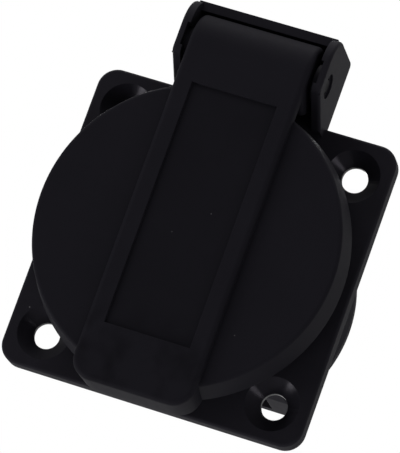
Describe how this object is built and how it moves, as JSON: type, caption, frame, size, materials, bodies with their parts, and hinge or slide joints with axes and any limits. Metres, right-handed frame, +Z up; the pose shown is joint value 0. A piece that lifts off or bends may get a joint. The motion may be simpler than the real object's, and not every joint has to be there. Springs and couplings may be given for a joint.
{
  "type": "panel power socket with lid",
  "caption": "Flush panel power socket: square flange with countersunk corner holes, round recess for a two-pin earthed plug, and a sprung round lid with a finger tab.",
  "frame": {"origin": "centre of the four fixing holes, in the plane of the flange's back face, which is the panel's front surface", "axes": "+X to the right seen from the front, +Y into the panel, +Z up towards the lid hinge"},
  "size_m": [0.05, 0.0443, 0.0633],
  "materials": {
    "housing_plastic": "black polyamide, lightly textured",
    "lid_plastic": "black polyamide, lightly textured",
    "insert_plastic": "black moulded plastic",
    "seal_rubber": "soft black rubber",
    "steel": "zinc-plated steel",
    "black_steel": "blackened steel",
    "spring_steel": "bright spring steel",
    "brass": "bare brass",
    "plated_brass": "nickel-plated brass"
  },
  "bodies": {
    "socket": {"housing": "housing_plastic", "hinge_pin": "black_steel", "lid_spring": "spring_steel", "socket_insert": "insert_plastic", "left_contact": "brass", "right_contact": "brass", "left_contact_clip": "spring_steel", "right_contact_clip": "spring_steel", "earth_strap": "plated_brass", "earth_rivet": "plated_brass", "left_terminal": "brass", "right_terminal": "brass", "earth_terminal": "brass", "terminal_screws": "steel", "terminal_rivets": "brass", "rear_cover": "housing_plastic", "cover_screws": "steel"},
    "lid": {"lid": "lid_plastic", "lid_seal": "seal_rubber"}
  },
  "joints": [
    {"name": "lid_hinge", "type": "hinge", "parent": "socket", "child": "lid", "pos_m": [0, -0.0103, 0.0297], "axis": [-1, 0, 0], "range_deg": [0, 95], "stiffness_Nm_per_rad": 0.03, "springref_deg": -28.65, "deforming": ["lid_spring"]}
  ]
}
